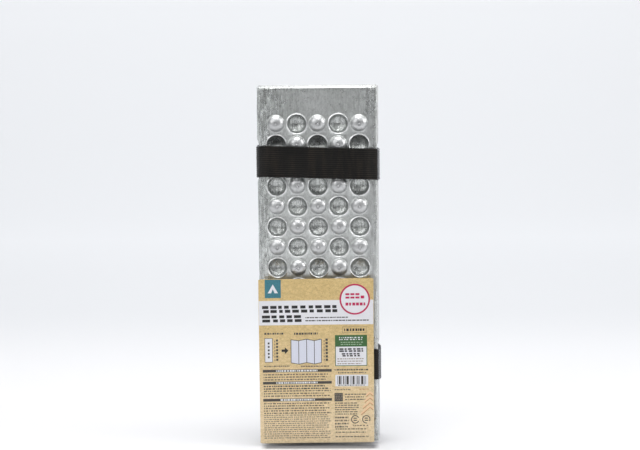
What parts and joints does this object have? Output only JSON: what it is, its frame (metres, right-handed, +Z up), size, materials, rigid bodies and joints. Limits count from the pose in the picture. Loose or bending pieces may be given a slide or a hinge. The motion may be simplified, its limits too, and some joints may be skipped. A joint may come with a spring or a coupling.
{
  "type": "folding foam mat",
  "caption": "Egg-crate closed-cell foam mat with a silver film face, folded in four panels at pressed creases and held by two black elastic loops, with a loose card.",
  "frame": {"origin": "middle of panel 3's lower edge, on the face the folded mat stands on", "axes": "+Z up along the creases, -Y the front, where the outer film face of panel 1 is seen, +X the side of the outer panels' cut edges"},
  "size_m": [0.1039, 0.0495, 0.295],
  "materials": {
    "foam": "matte",
    "film": "satin",
    "crease": "satin",
    "elastic": "matte",
    "thread": "matte",
    "card": "matte"
  },
  "bodies": {
    "panel_3": {"foam_panel_3": "foam", "film_skin_3": "film"},
    "panel_2": {"foam_panel_2": "foam", "film_skin_2": "film", "crease_23": "crease"},
    "panel_1": {"foam_panel_1": "foam", "film_skin_1": "film", "crease_12": "crease"},
    "panel_4": {"foam_panel_4": "foam", "film_skin_4": "film", "crease_34": "crease"},
    "upper_loop": {"upper_band": "elastic", "upper_band_stitching": "thread"},
    "lower_loop": {"lower_band": "elastic", "lower_band_stitching": "thread"},
    "card": {"info_card": "card"}
  },
  "joints": [
    {"name": "fold_23", "type": "hinge", "parent": "panel_3", "child": "panel_2", "pos_m": [0.0497, -0.005, 0], "axis": [0, 0, 1], "range_deg": [0, 180]},
    {"name": "fold_12", "type": "hinge", "parent": "panel_2", "child": "panel_1", "pos_m": [-0.0497, -0.015, 0], "axis": [0, 0, -1], "range_deg": [0, 180]},
    {"name": "fold_34", "type": "hinge", "parent": "panel_3", "child": "panel_4", "pos_m": [-0.0497, 0.005, 0], "axis": [0, 0, 1], "range_deg": [0, 180]},
    {"name": "upper_loop_off", "type": "slide", "parent": "panel_3", "child": "upper_loop", "axis": [0, 0, 1], "range_m": [0, 0.12], "deforming": ["upper_band", "upper_band_stitching"]},
    {"name": "lower_loop_off", "type": "slide", "parent": "panel_3", "child": "lower_loop", "axis": [0, 0, 1], "range_m": [0, 0.26], "deforming": ["lower_band", "lower_band_stitching"]},
    {"name": "card_off", "type": "slide", "parent": "panel_1", "child": "card", "axis": [0, -1, 0], "range_m": [0, 0.04]}
  ],
  "couplings": [
    {"joint": "fold_12", "follows": "fold_23", "ratio": 1},
    {"joint": "fold_34", "follows": "fold_23", "ratio": 1},
    {"joint": "upper_loop_off", "follows": "fold_23", "m_per_rad": 0.0366},
    {"joint": "lower_loop_off", "follows": "fold_23", "m_per_rad": 0.08}
  ]
}
